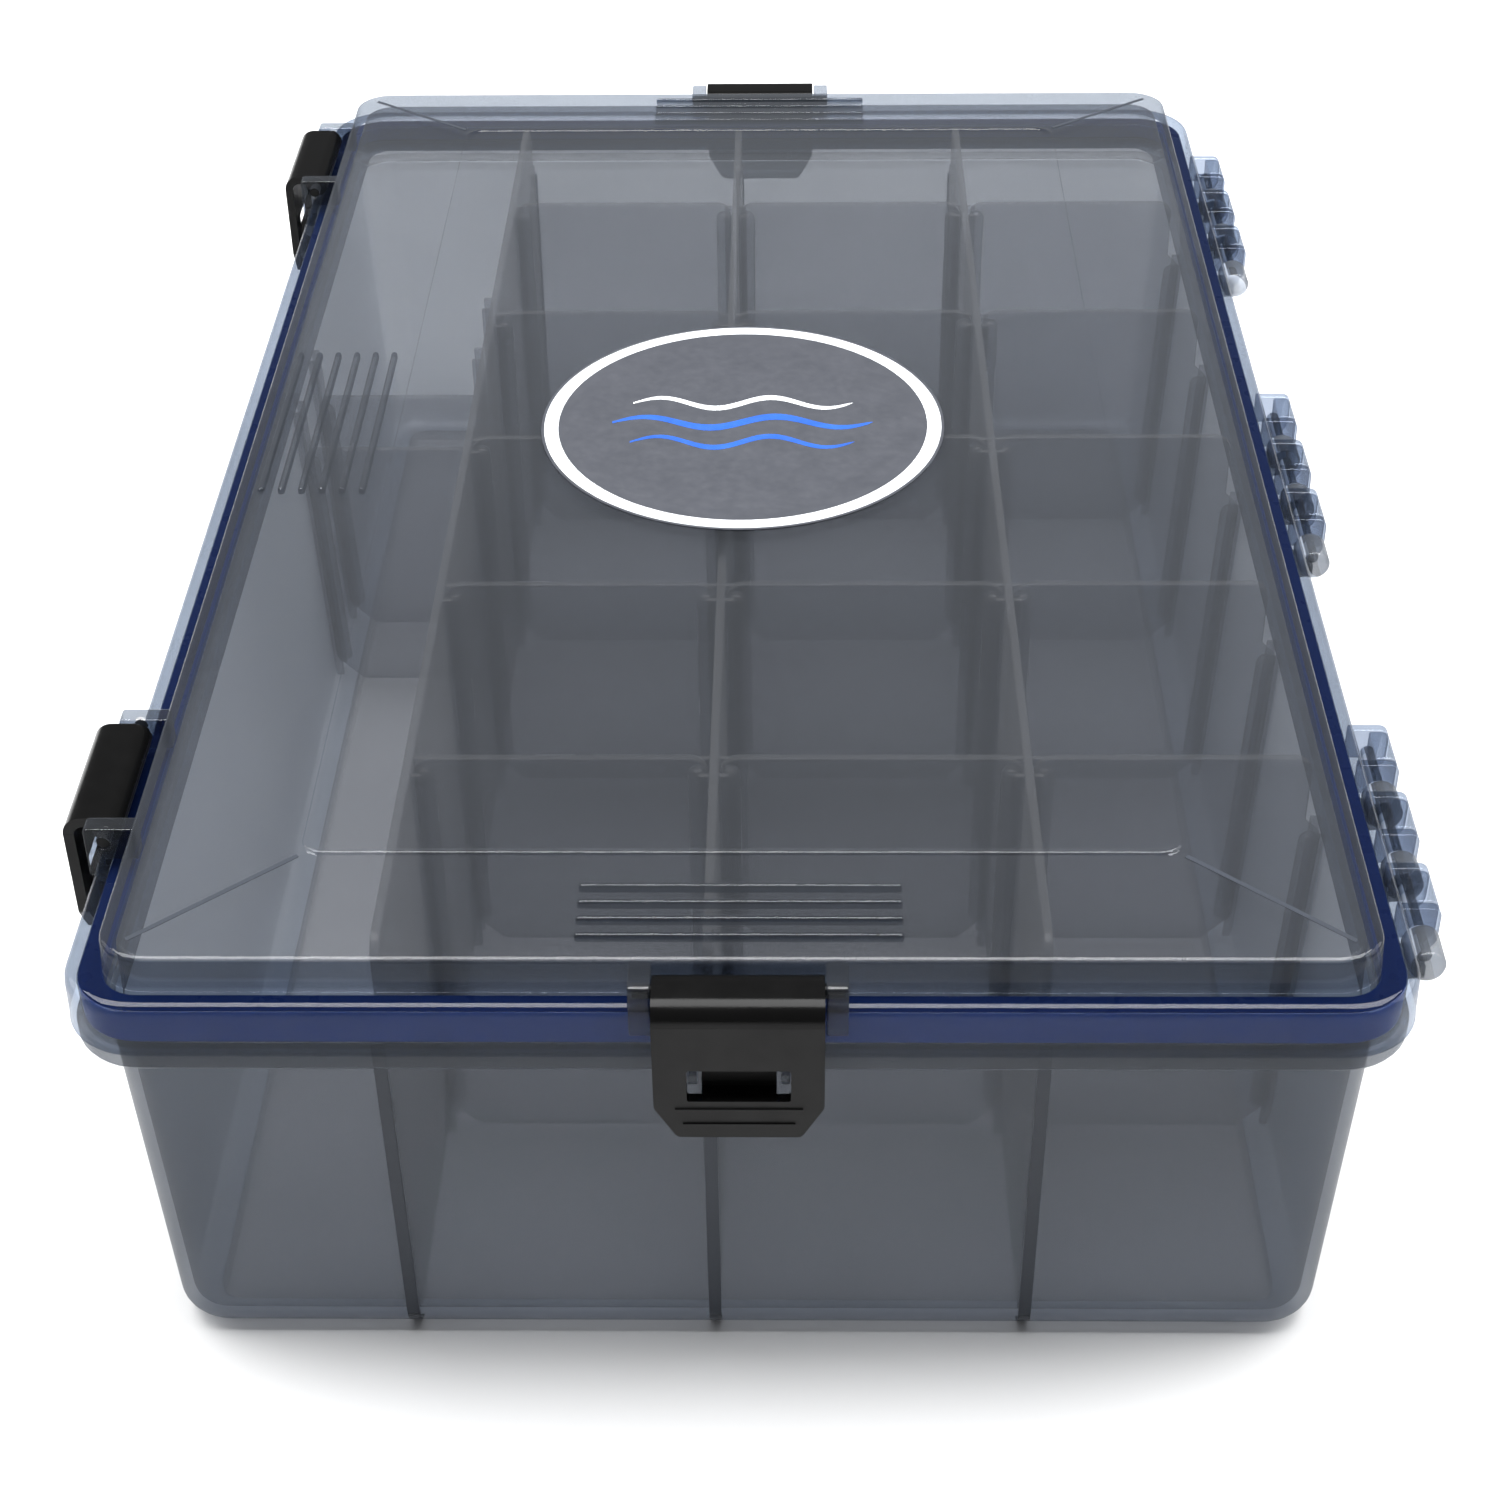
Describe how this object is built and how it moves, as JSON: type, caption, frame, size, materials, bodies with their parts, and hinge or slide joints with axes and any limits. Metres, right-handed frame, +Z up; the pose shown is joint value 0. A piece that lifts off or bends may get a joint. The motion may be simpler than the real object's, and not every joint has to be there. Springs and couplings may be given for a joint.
{
  "type": "fishing tackle box",
  "caption": "Deep see-through tackle case with a gasketed hinged lid, swing latches on three sides and lift-out dividers.",
  "frame": {"origin": "centre of the tub's flat resting face", "axes": "+Z up, +X towards the hinges, +Y along the case to its far end"},
  "size_m": [0.2332, 0.3606, 0.0964],
  "materials": {
    "tub_plastic": "smoke blue-grey translucent, gloss",
    "lid_plastic": "smoke blue-grey translucent, high gloss",
    "divider_plastic": "smoke grey translucent, satin",
    "gasket_rubber": "matte blue",
    "latch_plastic": "fine satin black",
    "pin_plastic": "smoke grey",
    "label_film": "printed film, semi-gloss"
  },
  "bodies": {
    "case": {"tub": "tub_plastic", "tub_base": "tub_plastic", "lane_wall_1": "tub_plastic", "lane_wall_2": "tub_plastic", "lane_wall_3": "tub_plastic", "catch_lugs": "tub_plastic", "hinge_pin_near": "pin_plastic", "hinge_pin_middle": "pin_plastic", "hinge_pin_far": "pin_plastic", "divider_b1": "divider_plastic", "divider_b2": "divider_plastic", "divider_b3": "divider_plastic", "divider_b4": "divider_plastic", "divider_b5": "divider_plastic", "divider_c1": "divider_plastic", "divider_c2": "divider_plastic", "divider_c3": "divider_plastic", "divider_c4": "divider_plastic", "divider_c5": "divider_plastic", "divider_d1": "divider_plastic", "divider_d2": "divider_plastic", "divider_d3": "divider_plastic", "divider_d4": "divider_plastic", "divider_d5": "divider_plastic", "short_divider_a1": "divider_plastic", "short_divider_a2": "divider_plastic"},
    "lid": {"lid": "lid_plastic", "gasket": "gasket_rubber", "label": "label_film"},
    "latch_near_end": {"latch_near_end": "latch_plastic"},
    "latch_far_end": {"latch_far_end": "latch_plastic"},
    "latch_side_near": {"latch_side_near": "latch_plastic"},
    "latch_side_far": {"latch_side_far": "latch_plastic"}
  },
  "joints": [
    {"name": "lid_hinge", "type": "hinge", "parent": "case", "child": "lid", "pos_m": [0.1137, 0, 0.079], "axis": [0, 1, 0], "range_deg": [0, 180]},
    {"name": "latch_near_end_swing", "type": "hinge", "parent": "lid", "child": "latch_near_end", "pos_m": [0, -0.1722, 0.0913], "axis": [-1, 0, 0], "range_deg": [0, 95]},
    {"name": "latch_far_end_swing", "type": "hinge", "parent": "lid", "child": "latch_far_end", "pos_m": [0, 0.1722, 0.0913], "axis": [1, 0, 0], "range_deg": [0, 95]},
    {"name": "latch_side_near_swing", "type": "hinge", "parent": "lid", "child": "latch_side_near", "pos_m": [-0.1082, -0.118, 0.0913], "axis": [0, 1, 0], "range_deg": [0, 110]},
    {"name": "latch_side_far_swing", "type": "hinge", "parent": "lid", "child": "latch_side_far", "pos_m": [-0.1082, 0.135, 0.0913], "axis": [0, 1, 0], "range_deg": [0, 110]}
  ]
}
